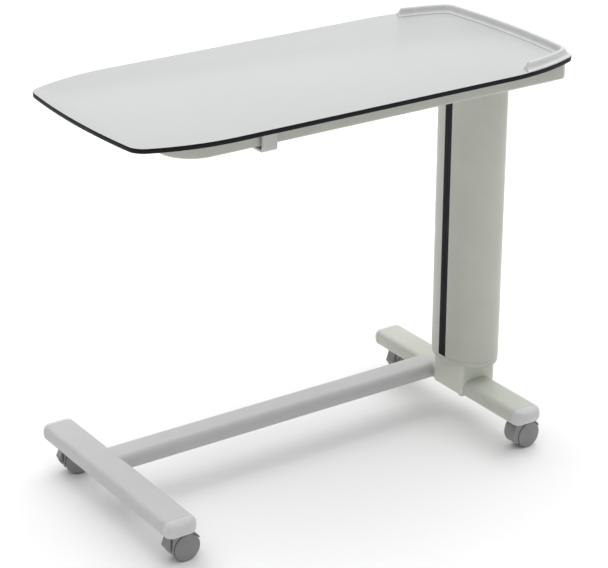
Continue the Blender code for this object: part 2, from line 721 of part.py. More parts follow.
def make_paddle(lever):
    """An arm from the shaft, a step under the frame's near leg and a tab up in front of it."""
    hub = circle(0.0085, 16)
    bore = circle(SHAFT_RADIUS + GAP, 16)
    left = LEVER_X - LEVER_WIDTH / 2
    right = LEVER_X + LEVER_WIDTH / 2
    paddle = add("lever_paddle", hollow(hub, bore, left, right, "X"), "cap_plastic", parent=lever)
    leg_inner = -FRAME_HALF_WIDTH + FRAME_TUBE / 2 - LEVER_AXIS_Y
    leg_outer = -FRAME_HALF_WIDTH - FRAME_TUBE / 2 - LEVER_AXIS_Y
    wrap_top = FRAME_BOTTOM - 0.0055 - LEVER_AXIS_Z
    wrap_low = wrap_top - 0.0032
    tab_top = LEVER_TAB_RISE
    tab_face = leg_outer - 0.0075
    outline = [(-0.0065, -0.0045), (-0.0065, 0.0025), (-0.012, 0.0015), (leg_inner + 0.006, wrap_top + 0.002)]
    outline += [(leg_inner, wrap_top), (leg_outer - 0.0015, wrap_top), (leg_outer - 0.0035, wrap_top + 0.004)]
    outline += [(leg_outer - 0.0035, tab_top), (tab_face + 0.001, tab_top), (tab_face, tab_top - 0.0015)]
    outline += arc((tab_face + 0.006, wrap_low + 0.006), 0.006, math.pi, 1.5 * math.pi, 4)
    outline += [(leg_inner + 0.004, wrap_low), (-0.016, -0.0035)]
    arm = cutter("paddle_arm", prism(outline, left + 0.0005, right - 0.0005, "X"), parent=lever)
    join = paddle.modifiers.new("arm", "BOOLEAN")
    join.operation = "UNION"
    join.solver = "EXACT"
    join.object = arm


# ---------------------------------------------------------------- castors
def hood_outline(stem_x, braked):
    """Side view, in wheel-centre coordinates: round fender, flat top boss and a web down past the axle."""
    boss_top = FOOT_BOTTOM - WHEEL_RADIUS - 0.0026
    boss_half = 0.009
    boss_meets = math.acos((stem_x + boss_half) / HOOD_RADIUS)
    outline = arc((0.0, 0.0), HOOD_RADIUS, math.radians(28), boss_meets, 7)
    outline += [(stem_x + boss_half, boss_top), (stem_x - boss_half + 0.002, boss_top)]
    if braked:
        outline += arc((0.0, 0.0), HOOD_RADIUS, math.radians(168), math.radians(196), 4)
    else:
        front = [(-9.5, 52.5), (-13.6, 45.5), (-15.8, 38.0), (-16.4, 32.0)]
        front += [(-15.2, 25.5), (-12.2, 19.0), (-8.6, 14.0)]
        outline += [(stem_x + x / 1000, z / 1000 - WHEEL_RADIUS) for x, z in front]
    outline += [(-0.008, -0.0145), (0.006, -0.0135)]
    return outline


def wheel_mesh():
    half = WHEEL_WIDTH / 2
    bore = AXLE_RADIUS + 0.0003
    profile = [
        (0, -half),
        (WHEEL_RADIUS - 0.0035, -half + 0.0003),
        (WHEEL_RADIUS - 0.0010, -half + 0.0012),
        (WHEEL_RADIUS, -half + 0.0030),
        (WHEEL_RADIUS, half - 0.0012),
        (WHEEL_RADIUS - 0.0012, half),
        (bore, half),
        (bore, -half + 0.0030),
        (0, -half + 0.0030),
    ]
    bm = turned(profile, 24, "Y")
    mesh = bpy.data.meshes.new("castor_wheel")
    bm.to_mesh(mesh)
    bm.free()
    mesh.shade_smooth()
    mesh.set_sharp_from_angle(angle=math.radians(35))
    mesh.materials.append(MATERIALS["castor_plastic"])
    return mesh


def make_castor(name, foot_x, y, wheel, turn=0.0, braked=True):
    swivel = empty("swivel_" + name, (foot_x, y, 0.0), turn=turn)
    axle_at = (CASTOR_TRAIL, 0.0, WHEEL_RADIUS)
    stem_x = -CASTOR_TRAIL

    body = prism(hood_outline(stem_x, braked), -HOOD_HALF_WIDTH, HOOD_HALF_WIDTH, "Y")
    hood = add("hood_" + name, body, "castor_plastic", axle_at, swivel)
    pocket = WHEEL_RADIUS + 0.0008
    for side, low, high in (("a", -0.02, -HOOD_WEB), ("b", HOOD_WEB, 0.02)):
        tool = turned([(0, low), (pocket, low), (pocket, high), (0, high)], 32, "Y")
        cut(hood, cutter("pocket_" + name + side, tool, axle_at, swivel))
    bore = AXLE_RADIUS + GAP
    cut(hood, cutter("axle_hole_" + name, plug(bore, -HOOD_WEB, HOOD_WEB, axis="Y"), axle_at, swivel))
    socket = plug(STEM_RADIUS + BORE_CLEARANCE, STEM_SOCKET_BOTTOM + 0.004, FOOT_BOTTOM)
    cut(hood, cutter("stem_hole_" + name, socket, parent=swivel))

    flange_low = FOOT_BOTTOM - 0.0022
    profile = [
        (0, STEM_SOCKET_BOTTOM + 0.0006),
        (STEM_RADIUS, STEM_SOCKET_BOTTOM + 0.0006),
        (STEM_RADIUS, flange_low),
        (0.0085, flange_low),
        (0.0085, FOOT_BOTTOM - GAP),
        (STEM_RADIUS, FOOT_BOTTOM - GAP),
        (STEM_RADIUS, FOOT_TOP - FOOT_WALL - 0.002),
        (0, FOOT_TOP - FOOT_WALL - 0.002),
    ]
    add("stem_" + name, turned(profile, 16), "steel", (foot_x, y, 0.0))

    length = CASTOR_HALF_WIDTH - 0.0035
    axle = turned([(0, -length), (AXLE_RADIUS, -length), (AXLE_RADIUS, length), (0, length)], 16, "Y")
    add("axle_" + name, axle, "steel", axle_at, swivel)
    offset = CASTOR_HALF_WIDTH - WHEEL_WIDTH / 2
    place("wheel_" + name + "_outer", wheel, (CASTOR_TRAIL, -offset, WHEEL_RADIUS), swivel)
    inner = place("wheel_" + name + "_inner", wheel, (CASTOR_TRAIL, offset, WHEEL_RADIUS), swivel)
    inner.rotation_euler = (0.0, 0.0, math.pi)
    if braked:
        make_pedal(name, swivel)


def make_pedal(name, swivel):
    """The brake tab on the hood's front, with its toe pressed in; lifting the toe frees the wheels."""
    side_view = (
        (-8.4, 55.4),
        (-9.9, 55.4),
        (-10.6, 54.0),
        (-11.0, 47.0),
        (-13.8, 39.0),
        (-16.6, 32.4),
        (-16.3, 30.6),
        (-11.4, 23.0),
        (-9.6, 23.0),
        (-9.4, 36.0),
        (-8.4, 50.0),
    )
    outline = [(x / 1000 - PEDAL_HINGE[0], z / 1000 - PEDAL_HINGE[1]) for x, z in side_view]
    bm = prism(outline, -PEDAL_HALF_WIDTH, PEDAL_HALF_WIDTH, "Y")
    add("brake_pedal_" + name, bm, "castor_plastic", (PEDAL_HINGE[0], 0.0, PEDAL_HINGE[1]), swivel)


# ---------------------------------------------------------------- assembly
def clear_scene():
    for old in list(bpy.data.objects):
        bpy.data.objects.remove(old, do_unlink=True)


def build():
    top = empty("lift_axis", (COLUMN_X, COLUMN_Y, 0.0))
    lever = empty("lever_axis", (0.0, LEVER_AXIS_Y, LEVER_AXIS_Z))
    make_tabletop()
    make_end_rim()
    make_support_frame()
    make_head(top)
    make_sleeve(top)
    make_collar(top)
    make_foot("left", LEFT_FOOT_X)
    make_foot("right", RIGHT_FOOT_X)
    make_spine()
    make_inner_column()
    make_upper_glide()
    make_gas_spring(top)
    make_release(top, lever)
    wheel = wheel_mesh()
    make_castor("near_left", LEFT_FOOT_X, -CASTOR_Y, wheel)
    make_castor("far_left", LEFT_FOOT_X, CASTOR_Y, wheel, turn=FAR_LEFT_SWIVEL)
    make_castor("far_right", RIGHT_FOOT_X, CASTOR_Y, wheel)
    make_castor("near_right", RIGHT_FOOT_X, -CASTOR_Y, wheel, turn=NEAR_RIGHT_SWIVEL, braked=False)


clear_scene()
MATERIALS = make_materials()
build()
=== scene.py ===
"""Overbed table: the fine surfaces, materials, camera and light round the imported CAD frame."""

import json
import math

import bmesh
import bpy
from mathutils import Matrix, Vector


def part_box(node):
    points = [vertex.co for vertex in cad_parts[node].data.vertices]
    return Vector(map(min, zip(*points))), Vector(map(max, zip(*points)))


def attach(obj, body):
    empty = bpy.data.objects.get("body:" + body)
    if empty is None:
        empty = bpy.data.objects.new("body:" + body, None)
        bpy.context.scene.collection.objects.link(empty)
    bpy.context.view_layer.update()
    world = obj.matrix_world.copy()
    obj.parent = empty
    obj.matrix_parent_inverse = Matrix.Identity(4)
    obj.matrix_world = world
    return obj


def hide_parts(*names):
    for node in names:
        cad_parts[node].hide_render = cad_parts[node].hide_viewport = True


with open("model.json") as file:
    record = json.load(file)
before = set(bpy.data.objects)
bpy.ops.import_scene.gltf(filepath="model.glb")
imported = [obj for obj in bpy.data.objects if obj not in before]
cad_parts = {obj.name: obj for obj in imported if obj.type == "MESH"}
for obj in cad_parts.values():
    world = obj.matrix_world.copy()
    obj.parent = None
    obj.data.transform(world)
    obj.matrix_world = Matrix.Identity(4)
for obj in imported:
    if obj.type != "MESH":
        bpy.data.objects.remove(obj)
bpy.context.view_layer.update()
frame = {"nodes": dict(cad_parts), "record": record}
SMOOTH_ANGLE = math.radians(32)
BEVEL_ANGLE = math.radians(38)
GAP = 0.0003  # between two CAD pieces that touch


# ---------------------------------------------------------------- materials
def new_material(name, colour, roughness, metallic=0.0, specular=0.5):
    """A Principled material; returns it with its node tree and shader."""
    made = bpy.data.materials.new(name)
    made.use_nodes = True
    tree = made.node_tree
    shader = tree.nodes["Principled BSDF"]
    shader.inputs["Base Color"].default_value = (*colour, 1.0)
    shader.inputs["Roughness"].default_value = roughness
    shader.inputs["Metallic"].default_value = metallic
    shader.inputs["Specular IOR Level"].default_value = specular
    return made, tree, shader


def coordinates(tree):
    return tree.nodes.new("ShaderNodeTexCoord").outputs["Object"]


def noise(tree, vector, scale, detail=3.0, rough=0.5):
    node = tree.nodes.new("ShaderNodeTexNoise")
    node.inputs["Scale"].default_value = scale
    node.inputs["Detail"].default_value = detail
    node.inputs["Roughness"].default_value = rough
    tree.links.new(vector, node.inputs["Vector"])
    return node.outputs["Fac"]


def ramp(tree, fac, low, high, first, last):
    """Maps fac from low..high to the colours or grey values first..last."""
    node = tree.nodes.new("ShaderNodeValToRGB")
    node.color_ramp.elements[0].position = low
    node.color_ramp.elements[1].position = high
    for element, value in zip(node.color_ramp.elements, (first, last)):
        element.color = (*value, 1.0) if isinstance(value, tuple) else (value, value, value, 1.0)
    tree.links.new(fac, node.inputs["Fac"])
    return node.outputs["Color"]


def mixed(tree, fac, a, b):
    """Mixes a and b by fac; each may be a socket, a colour or a number."""
    node = tree.nodes.new("ShaderNodeMix")
    node.data_type = "RGBA"
    for socket, value in ((node.inputs[0], fac), (node.inputs[6], a), (node.inputs[7], b)):
        if isinstance(value, bpy.types.NodeSocket):
            tree.links.new(value, socket)
        elif isinstance(value, tuple):
            socket.default_value = (*value, 1.0)
        else:
            socket.default_value = value
    return node.outputs[2]


def bump(tree, shader, layers):
    """Stacks (height, strength, distance) layers and joins them to the shader's normal."""
    normal = None
    for height, strength, distance in layers:
        node = tree.nodes.new("ShaderNodeBump")
        node.inputs["Strength"].default_value = strength
        node.inputs["Distance"].default_value = distance
        tree.links.new(height, node.inputs["Height"])
        if normal is not None:
            tree.links.new(normal, node.inputs["Normal"])
        normal = node.outputs["Normal"]
    tree.links.new(normal, shader.inputs["Normal"])


def tint(colour, factor):
    return tuple(min(1.0, channel * factor) for channel in colour)


def edge_highlight_mask(tree, low, high, most):
    """Rises to most along convex edges, from the mesh's pointiness; it places a painted edge highlight."""
    geometry = tree.nodes.new("ShaderNodeNewGeometry")
    return ramp(tree, geometry.outputs["Pointiness"], low, high, 0.0, most)


def powder_coat(name, colour, roughness):
    """Satin powder coat: fine orange peel, faint mottling and convex edges painted slightly paler as a
    highlight.
    """
    made, tree, shader = new_material(name, colour, roughness)
    where = coordinates(tree)
    mottle = noise(tree, where, 22.0, 4.0, 0.6)
    speckle = noise(tree, where, 620.0, 2.0, 0.5)
    paint = ramp(tree, mottle, 0.3, 0.7, tint(colour, 0.965), tint(colour, 1.03))
    paint = mixed(tree, ramp(tree, speckle, 0.45, 0.62, 0.0, 0.5), paint, tint(colour, 0.93))
    # Convex edges are painted paler: a painted highlight.
    paint = mixed(tree, edge_highlight_mask(tree, 0.53, 0.60, 0.35), paint, tint(colour, 1.12))
    tree.links.new(paint, shader.inputs["Base Color"])
    rough = ramp(tree, noise(tree, where, 9.0, 3.0), 0.3, 0.7, roughness - 0.05, roughness + 0.06)
    tree.links.new(rough, shader.inputs["Roughness"])
    peel = noise(tree, where, 480.0, 2.0, 0.45)
    wave = noise(tree, where, 90.0, 2.0, 0.5)
    bump(tree, shader, ((peel, 0.22, 0.0003), (wave, 0.10, 0.0006)))
    return made


def moulded_plastic(name, colour, roughness, grain=900.0, grip=0.18):
    """Moulded plastic: spark-eroded grain, soft flow marks and convex edges painted paler as a highlight."""
    made, tree, shader = new_material(name, colour, roughness)
    where = coordinates(tree)
    flow = noise(tree, where, 35.0, 3.0, 0.55)
    tone = ramp(tree, flow, 0.3, 0.7, tint(colour, 0.95), tint(colour, 1.04))
    # Convex edges are painted paler: a painted highlight.
    tone = mixed(tree, edge_highlight_mask(tree, 0.54, 0.62, 0.3), tone, tint(colour, 1.22))
    tree.links.new(tone, shader.inputs["Base Color"])
    rough = ramp(tree, noise(tree, where, 60.0, 2.0), 0.3, 0.7, roughness - 0.04, roughness + 0.06)
    tree.links.new(rough, shader.inputs["Roughness"])
    bump(tree, shader, ((noise(tree, where, grain, 2.0, 0.5), grip, 0.0002),))
    return made


def laminate_face(name, colour):
    """Compact laminate: a fine pearl texture, a barely visible mottle and faint wiping scuffs."""
    made, tree, shader = new_material(name, colour, 0.36)
    where = coordinates(tree)
    cloud = noise(tree, where, 5.0, 4.0, 0.55)
    tone = ramp(tree, cloud, 0.3, 0.7, tint(colour, 0.985), tint(colour, 1.015))
    speck = noise(tree, where, 900.0, 2.0, 0.6)
    tone = mixed(tree, ramp(tree, speck, 0.52, 0.68, 0.0, 0.35), tone, tint(colour, 0.955))
    tree.links.new(tone, shader.inputs["Base Color"])
    stretch = tree.nodes.new("ShaderNodeMapping")
    stretch.inputs["Scale"].default_value = (2.5, 60.0, 1.0)
    stretch.inputs["Rotation"].default_value = (0.0, 0.0, math.radians(18))
    tree.links.new(where, stretch.inputs["Vector"])
    scuff = noise(tree, stretch.outputs["Vector"], 3.0, 5.0, 0.7)
    rough = ramp(tree, scuff, 0.45, 0.75, 0.34, 0.44)
    tree.links.new(rough, shader.inputs["Roughness"])
    pearl = noise(tree, where, 700.0, 2.0, 0.5)
    bump(tree, shader, ((pearl, 0.12, 0.0002), (scuff, 0.02, 0.0002)))
    return made


def laminate_core(name):
    """The sawn and polished black core that shows along the board's edge."""
    made, tree, shader = new_material(name, (0.005, 0.006, 0.008), 0.50, 0.0, 0.15)
    where = coordinates(tree)
    stretch = tree.nodes.new("ShaderNodeMapping")
    stretch.inputs["Scale"].default_value = (8.0, 8.0, 900.0)
    tree.links.new(where, stretch.inputs["Vector"])
    layers = noise(tree, stretch.outputs["Vector"], 1.0, 3.0, 0.6)
    tone = ramp(tree, layers, 0.35, 0.7, (0.004, 0.005, 0.007), (0.008, 0.009, 0.012))
    tree.links.new(tone, shader.inputs["Base Color"])
    rough = ramp(tree, noise(tree, where, 30.0, 3.0), 0.3, 0.7, 0.44, 0.56)
    tree.links.new(rough, shader.inputs["Roughness"])
    bump(tree, shader, ((layers, 0.15, 0.0002),))
    return made


def plated_steel(name, colour, roughness):
    """Zinc plated steel with a fine brushed grain and dull spots."""
    made, tree, shader = new_material(name, colour, roughness, 1.0)
    where = coordinates(tree)
    spots = noise(tree, where, 45.0, 4.0, 0.6)
    tone = ramp(tree, spots, 0.3, 0.7, tint(colour, 0.86), tint(colour, 1.06))
    tree.links.new(tone, shader.inputs["Base Color"])
    rough = ramp(tree, spots, 0.3, 0.75, roughness - 0.06, roughness + 0.12)
    tree.links.new(rough, shader.inputs["Roughness"])
    bump(tree, shader, ((noise(tree, where, 800.0, 2.0), 0.08, 0.0002),))
    return made


def rubber_strip(name):
    """The dull black strip in the column's slot."""
    made, tree, shader = new_material(name, (0.006, 0.006, 0.008), 0.60, 0.0, 0.15)
    where = coordinates(tree)
    tone = ramp(tree, noise(tree, where, 70.0, 3.0), 0.3, 0.7, (0.004, 0.004, 0.006), (0.009, 0.009, 0.012))
    tree.links.new(tone, shader.inputs["Base Color"])
    rough = ramp(tree, noise(tree, where, 25.0, 3.0), 0.3, 0.7, 0.46, 0.62)
    tree.links.new(rough, shader.inputs["Roughness"])
    bump(tree, shader, ((noise(tree, where, 1100.0, 2.0), 0.15, 0.0002),))
    return made


CREAM = (0.520, 0.535, 0.472)
GREY = (0.520, 0.520, 0.522)
LOOKS = {
    "laminate": laminate_face("laminate_face", (0.520, 0.532, 0.531)),
    "core": laminate_core("laminate_core"),
    "cream_paint": powder_coat("cream_powder_coat", CREAM, 0.42),
    # The frame tube's copy of the cream coat is darker than the cream: painted shade.
    "frame_paint_shaded": powder_coat("frame_powder_coat_shaded", tint(CREAM, 0.87), 0.42),
    "lever_plastic": moulded_plastic("lever_plastic", (0.500, 0.505, 0.480), 0.42),
    # The fixed column's copy is paler than the cream: painted light where the column stands in shade.
    "column_paint_lit": powder_coat("column_powder_coat_lit", tint(CREAM, 1.25), 0.42),
    # The right foot's copy is a little paler than the cream: painted light where the foot lies in shade
    # under the top.
    "foot_paint_lit": powder_coat("foot_powder_coat_lit", tint(CREAM, 1.05), 0.42),
    "grey_paint": powder_coat("grey_powder_coat", GREY, 0.42),
    "cap_plastic": moulded_plastic("cap_plastic", (0.600, 0.603, 0.610), 0.42),
    "rim_plastic": moulded_plastic("rim_plastic", (0.640, 0.645, 0.650), 0.38, 700.0, 0.08),
    "castor_plastic": moulded_plastic("castor_nylon", (0.260, 0.260, 0.261), 0.48, 1000.0, 0.25),
    "tread": moulded_plastic("castor_tread", (0.175, 0.175, 0.177), 0.60, 1200.0, 0.30),
    "black_plastic": rubber_strip("black_strip"),
    "glide_plastic": moulded_plastic("glide_nylon", (0.78, 0.78, 0.75), 0.40),
    "steel": plated_steel("plated_steel", (0.56, 0.57, 0.58), 0.32),
    "spring_black": powder_coat("spring_enamel", (0.02, 0.02, 0.021), 0.30),
    "weld": powder_coat("painted_weld", tint(CREAM, 0.96), 0.46),
}


# ---------------------------------------------------------------- outlines
def arc(centre, radius, start, end, steps):
    points = []
    for i in range(steps + 1):
        angle = start + (end - start) * i / steps
        points.append((centre[0] + radius * math.cos(angle), centre[1] + radius * math.sin(angle)))
    return points


def rounded_rectangle(width, height, corner, steps):
    """A closed outline; points that fall together, as with no corner radius, are kept once."""
    points = []
    for i, (x_sign, y_sign) in enumerate(((1, 1), (-1, 1), (-1, -1), (1, -1))):
        centre = (x_sign * (width / 2 - corner), y_sign * (height / 2 - corner))
        points += arc(centre, corner, i * math.pi / 2, (i + 1) * math.pi / 2, steps)
    distinct = []
    for point in points:
        if not distinct or math.dist(point, distinct[-1]) > 1e-6:
            distinct.append(point)
    if math.dist(distinct[0], distinct[-1]) < 1e-6:
        distinct.pop()
    return distinct


def densified(outline, longest):
    """The same closed outline with no straight piece longer than longest."""
    points = []
    for i, (u, v) in enumerate(outline):
        next_u, next_v = outline[(i + 1) % len(outline)]
        parts = max(1, math.ceil(math.dist((u, v), (next_u, next_v)) / longest))
        for k in range(parts):
            points.append((u + (next_u - u) * k / parts, v + (next_v - v) * k / parts))
    return points


def spline(points, steps):
    """A smooth open line through the points."""
    out = []
    last = len(points) - 1
    for i in range(last):
        p = [Vector(points[max(0, min(last, i + k))]) for k in (-1, 0, 1, 2)]
        for s in range(steps):
            t = s / steps
            square = (2 * p[0] - 5 * p[1] + 4 * p[2] - p[3]) * t * t
            cube = (3 * p[1] - p[0] - 3 * p[2] + p[3]) * t ** 3
            out.append(tuple(0.5 * (2 * p[1] + (p[2] - p[0]) * t + square + cube)))
    out.append(tuple(points[last]))
    return out


# ---------------------------------------------------------------- meshes
def on_axis(u, v, w, axis):
    if axis == "X":
        return (w, u, v)
    if axis == "Y":
        return (u, w, v)
    return (u, v, w)


def closed(bm):
    bmesh.ops.remove_doubles(bm, verts=bm.verts, dist=1e-7)
    bmesh.ops.recalc_face_normals(bm, faces=bm.faces)
    if bm.calc_volume(signed=True) < 0:
        bmesh.ops.reverse_faces(bm, faces=bm.faces)
    return bm


def bridge(bm, first, second):
    count = len(first)
    for i in range(count):
        j = (i + 1) % count
        bm.faces.new((first[i], first[j], second[j], second[i]))


def loft(sections, axis="Z", ring=False):
    """Through (height, outline) sections; ring joins the last to the first instead of capping both."""
    bm = bmesh.new()
    rings = [[bm.verts.new(on_axis(u, v, height, axis)) for u, v in outline] for height, outline in sections]
    for first, second in zip(rings, rings[1:] + (rings[:1] if ring else [])):
        bridge(bm, first, second)
    if not ring:
        bm.faces.new(rings[0])
        bm.faces.new(rings[-1])
    return closed(bm)


def turned(profile, steps, axis="Z"):
    """(radius, height) points turned round the axis; a radius may be a function of the angle."""
    bm = bmesh.new()
    rings = []
    for radius, height in profile:
        if not callable(radius) and radius < 1e-7:
            rings.append([bm.verts.new(on_axis(0.0, 0.0, height, axis))])
            continue
        ring = []
        for i in range(steps):
            angle = 2 * math.pi * i / steps
            r = radius(angle) if callable(radius) else radius
            ring.append(bm.verts.new(on_axis(r * math.cos(angle), r * math.sin(angle), height, axis)))
        rings.append(ring)
    closing = rings[:1] if len(rings[0]) > 1 else []
    for first, second in zip(rings, rings[1:] + closing):
        if len(first) == 1 or len(second) == 1:
            tip, ring = (first[0], second) if len(first) == 1 else (second[0], first)
            for i in range(steps):
                bm.faces.new((tip, ring[i], ring[(i + 1) % steps]))
        else:
            bridge(bm, first, second)
    return closed(bm)


def hexagon(flats):
    """Radius of a hexagon, by angle."""
    return lambda angle: flats / math.cos((angle + math.pi / 6) % (math.pi / 3) - math.pi / 6)


def plug(radius, low, high, steps, axis="Z"):
    return turned([(0, low), (radius, low), (radius, high), (0, high)], steps, axis)


def moved(bm, location):
    bm.transform(Matrix.Translation(location))
    return bm


def piece(name, bm, look, body, replaces=(), bevel=0.0, segments=2):
    """A visible piece that rides on a body; its material is its look's."""
    mesh = bpy.data.meshes.new(name)
    bm.to_mesh(mesh)
    bm.free()
    mesh.shade_smooth()
    mesh.set_sharp_from_angle(angle=SMOOTH_ANGLE)
    mesh.materials.append(LOOKS[look])
    made = bpy.data.objects.new(name, mesh)
    bpy.context.scene.collection.objects.link(made)
    if bevel:
        soften(made, bevel, segments)
    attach(made, body)
    if replaces:
        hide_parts(*replaces)
    return made


def soften(made, width, segments=2):
    modifier = made.modifiers.new("soft_edges", "BEVEL")
    modifier.width = width
    modifier.segments = segments
    modifier.limit_method = "ANGLE"
    modifier.angle_limit = BEVEL_ANGLE
    modifier.harden_normals = True


def cut_by(target, bm):
    """Cuts bm out of target now, so that nothing is left behind in the scene."""
    mesh = bpy.data.meshes.new("tool")
    bm.to_mesh(mesh)
    bm.free()
    tool = bpy.data.objects.new("tool", mesh)
    bpy.context.scene.collection.objects.link(tool)
    modifier = target.modifiers.new("cut", "BOOLEAN")
    modifier.operation = "DIFFERENCE"
    modifier.solver = "EXACT"
    modifier.object = tool
    bpy.context.view_layer.update()
    graph = bpy.context.evaluated_depsgraph_get()
    result = bpy.data.meshes.new_from_object(target.evaluated_get(graph))
    target.modifiers.remove(modifier)
    old = target.data
    target.data = result
    bpy.data.meshes.remove(old)
    bpy.data.objects.remove(tool)
    bpy.data.meshes.remove(mesh)
    target.data.shade_smooth()
    target.data.set_sharp_from_angle(angle=SMOOTH_ANGLE)


# ---------------------------------------------------------------- top
TOP_LOW, TOP_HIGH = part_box("tabletop_panel")
TOP_LENGTH = TOP_HIGH.x - TOP_LOW.x
TOP_WIDTH = TOP_HIGH.y - TOP_LOW.y
END_BOW = 1.400  # radius of the bowed ends
SIDE_BOW = 0.380  # radius of the sides' curved stretches
SIDE_BOW_X = 0.270  # where those start
TOP_CORNER = 0.032
TOP_STEPS = (12, 18, 28)  # of half an end, a corner and a side's curved stretch
TOP_ARRIS = ((0.0, 0.0008), (0.0003, 0.0003), (0.0009, 0.0))  # (distance from the face, inset)
FACE_NORMAL = 0.97  # a polygon whose normal is less upright than this shows the core


def top_quarter(inset=0.0, least_corner=0.0):
    """A quarter outline of the tabletop, from the middle of its bowed end to its straight side."""
    corner = max(TOP_CORNER - inset, least_corner)
    end_radius = END_BOW - inset
    side_radius = SIDE_BOW - inset
    a = Vector((TOP_LENGTH / 2 - END_BOW, 0.0))
    b = Vector((SIDE_BOW_X, TOP_WIDTH / 2 - SIDE_BOW))
    ra = end_radius - corner
    rb = side_radius - corner
    apart = (b - a).length
    along = (ra * ra - rb * rb + apart * apart) / (2 * apart)
    across = math.sqrt(ra * ra - along * along)
    direction = (b - a).normalized()
    normal = Vector((-direction.y, direction.x))
    centre = max((a + direction * along + normal * s * across for s in (1, -1)), key=lambda point: point.y)
    start = math.atan2(centre.y - a.y, centre.x - a.x)
    end = math.atan2(centre.y - b.y, centre.x - b.x)
    points = arc(a, end_radius, 0.0, start, TOP_STEPS[0])
    points += arc(centre, corner, start, end, TOP_STEPS[1])[1:]
    points += arc(b, side_radius, end, math.pi / 2, TOP_STEPS[2])[1:]
    return points


def top_outline(inset):
    quarter = top_quarter(inset)
    upper = quarter + [(-x, y) for x, y in reversed(quarter)]
    return upper + [(x, -y) for x, y in reversed(upper[1:-1])]


def make_board():
    """The laminate board: pale faces, a thin sanded arris and the black core in between."""
    sections = [(TOP_LOW.z + rise, top_outline(inset)) for rise, inset in TOP_ARRIS]
    sections += [(TOP_HIGH.z - rise, top_outline(inset)) for rise, inset in reversed(TOP_ARRIS)]
    board = piece("top_board", loft(sections), "laminate", "top", ("tabletop_panel",))
    board.data.materials.append(LOOKS["core"])
    for polygon in board.data.polygons:
        if abs(polygon.normal.z) < FACE_NORMAL:
            polygon.material_index = 1


# The lip's section: (inset from the top's edge, height above the board), in millimetres.
RIM_SECTION = ((1.6, 0.0), (1.6, 1.3), (5.4, 2.6), (8.2, 5.2), (9.8, 9.6), (11.6, 12.6), (14.2, 13.8),
               (17.0, 12.8), (18.8, 9.8), (20.6, 4.8), (23.0, 1.8), (25.0, 0.8), (25.0, 0.0))
RIM_SPLINE_STEPS = 4
RIM_TAIL_X = (0.331, 0.3046)  # where the far and the near tail start
RIM_TAIL_SKEW = (-0.45, 0.35)  # how far each tail moves along X per unit of inset from the edge
RIM_TAIL_SLANT = 0.50  # and how far both lean per unit of height
RIM_TAIL_RUN = 0.006  # the last straight piece before a tail is at least this long
RIM_LEAST_CORNER = 0.021
RIM_SEAT = 0.00025  # how far the lip reaches down into the gap under the rim


def make_rim():
    """The raised lip round the column end, with its slanted tails."""
    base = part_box("end_rim")[0].z - RIM_SEAT
    count = sum(x > max(RIM_TAIL_X) + RIM_TAIL_RUN for x, y in top_quarter())
    section = [RIM_SECTION[0]] + spline(RIM_SECTION[1:-1], RIM_SPLINE_STEPS) + [RIM_SECTION[-1]]
    bm = bmesh.new()
    rings = []
    for inset, height in section:
        kept = top_quarter(inset / 1000, RIM_LEAST_CORNER)[: count + 1]
        line = [Vector((x, y, base + height / 1000)) for x, y in reversed(kept)]
        line += [Vector((x, -y, base + height / 1000)) for x, y in kept[1:]]
        for side, end, step in ((0, 0, 1), (1, -1, -1)):
            tail_x = RIM_TAIL_X[side] + (height * RIM_TAIL_SLANT + inset * RIM_TAIL_SKEW[side]) / 1000
            direction = line[end] - line[end + step]
            line[end] = line[end] + direction / direction.x * (tail_x - line[end].x)
        rings.append([bm.verts.new(point) for point in line])
    for first, second in zip(rings, rings[1:] + rings[:1]):
        for i in range(len(first) - 1):
            bm.faces.new((first[i], first[i + 1], second[i + 1], second[i]))
    bm.faces.new([ring[0] for ring in rings])
    bm.faces.new([ring[-1] for ring in rings])
    piece("rim_lip", closed(bm), "rim_plastic", "top", ("end_rim",), bevel=0.0007, segments=3)


# ---------------------------------------------------------------- frame
FRAME_LOW, FRAME_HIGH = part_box("support_frame")
FRAME_TUBE = FRAME_HIGH.z - FRAME_LOW.z
FRAME_MIDDLE = (FRAME_HIGH.z + FRAME_LOW.z) / 2
LEG_Y = FRAME_HIGH.y - FRAME_TUBE / 2
CROSS_X = FRAME_LOW.x + FRAME_TUBE / 2
FRAME_BEND = 0.047
FRAME_BEND_STEPS = 24
FRAME_CORNER = 0.005
FRAME_CORNER_STEPS = 6
SAWN_EDGE = 0.0008  # length of the tube's dressed ends
SAWN_SHRINK = 0.985
# An end plug's outline: (share of its length, inset from the tube's side).
PLUG_STEPS = ((0.0, 0.0008), (0.05, 0.0), (0.45, 0.0), (0.62, 0.0004), (0.80, 0.0014), (0.93, 0.0030),
              (1.0, 0.0050))
SCREW_X = (-0.27, 0.02, 0.22)
SCREW_SOCKET = 0.0015  # half across flats
# A screw's head from its socket's rim outwards: (radius, height below the tube).
SCREW_HEAD = ((0.0030, 0.0029), (0.0044, 0.0018), (0.0048, 0.0004), (0.0048, 0.0))


